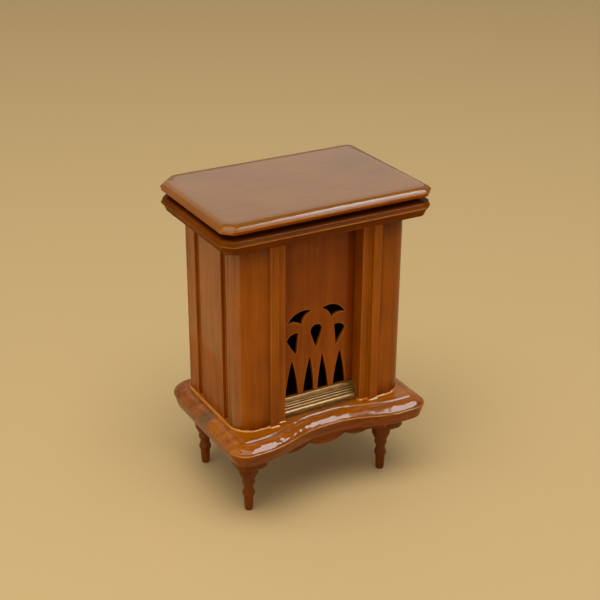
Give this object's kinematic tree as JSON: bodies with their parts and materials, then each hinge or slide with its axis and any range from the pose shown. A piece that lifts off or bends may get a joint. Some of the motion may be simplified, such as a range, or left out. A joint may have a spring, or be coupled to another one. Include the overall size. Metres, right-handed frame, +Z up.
{
  "type": "doll's house console radio",
  "caption": "Doll's-house console radio in walnut-stained wood: hinged lid over a control well, fretwork sound panel with a gilt strip, serpentine base on turned legs.",
  "frame": {"origin": "on the floor at the middle of the footprint", "axes": "+Z up, -Y the front with the fretwork panel, +X the cabinet's right side seen from the front"},
  "size_m": [0.0588, 0.044, 0.083],
  "materials": {
    "case_wood": "glossy lacquer over amber walnut stain",
    "turned_wood": "glossy lacquer over dark walnut stain",
    "inner_wood": "satin walnut stain",
    "raw_wood": "raw basswood",
    "gilt_brass": "antique gilt",
    "hinge_brass": "polished"
  },
  "bodies": {
    "cabinet": {"base_board": "case_wood", "front_apron": "case_wood", "corner_block_front_left": "case_wood", "corner_block_front_right": "case_wood", "corner_block_rear_left": "case_wood", "corner_block_rear_right": "case_wood", "leg_front_left": "turned_wood", "leg_front_right": "turned_wood", "leg_rear_left": "turned_wood", "leg_rear_right": "turned_wood", "side_panel_left": "case_wood", "side_panel_right": "case_wood", "corner_post_left": "case_wood", "corner_post_right": "case_wood", "outer_strip_left": "case_wood", "outer_strip_right": "case_wood", "inner_strip_left": "case_wood", "inner_strip_right": "case_wood", "fret_panel": "case_wood", "gilt_moulding": "gilt_brass", "back_board": "inner_wood", "case_dowels": "raw_wood", "glue_block_left": "raw_wood", "glue_block_right": "raw_wood", "deck_cleat_left": "raw_wood", "deck_cleat_right": "raw_wood", "deck_board": "case_wood", "dial_plate": "hinge_brass", "dial_pointer": "turned_wood", "cornice": "case_wood", "hinge_fixed_leaf_left": "hinge_brass", "hinge_fixed_leaf_right": "hinge_brass", "hinge_pin_left": "hinge_brass", "hinge_pin_right": "hinge_brass", "hinge_nails_fixed": "hinge_brass"},
    "lid": {"lid_rim": "inner_wood", "lid_board": "case_wood", "hinge_lid_leaf_left": "hinge_brass", "hinge_lid_leaf_right": "hinge_brass", "hinge_nails_lid": "hinge_brass"},
    "tuning_control": {"tuning_knob": "turned_wood", "tuning_spindle": "hinge_brass"},
    "volume_control": {"volume_knob": "turned_wood", "volume_spindle": "hinge_brass"}
  },
  "joints": [
    {"name": "lid_hinge", "type": "hinge", "parent": "cabinet", "child": "lid", "pos_m": [0, 0.0212, 0.0798], "axis": [-1, 0, 0], "range_deg": [0, 100]},
    {"name": "tuning_turn", "type": "hinge", "parent": "cabinet", "child": "tuning_control", "pos_m": [0.012, -0.0035, 0.072], "axis": [0, 0, 1], "range_deg": [-135, 135]},
    {"name": "volume_turn", "type": "hinge", "parent": "cabinet", "child": "volume_control", "pos_m": [-0.012, -0.0035, 0.072], "axis": [0, 0, 1], "range_deg": [-135, 135]}
  ]
}
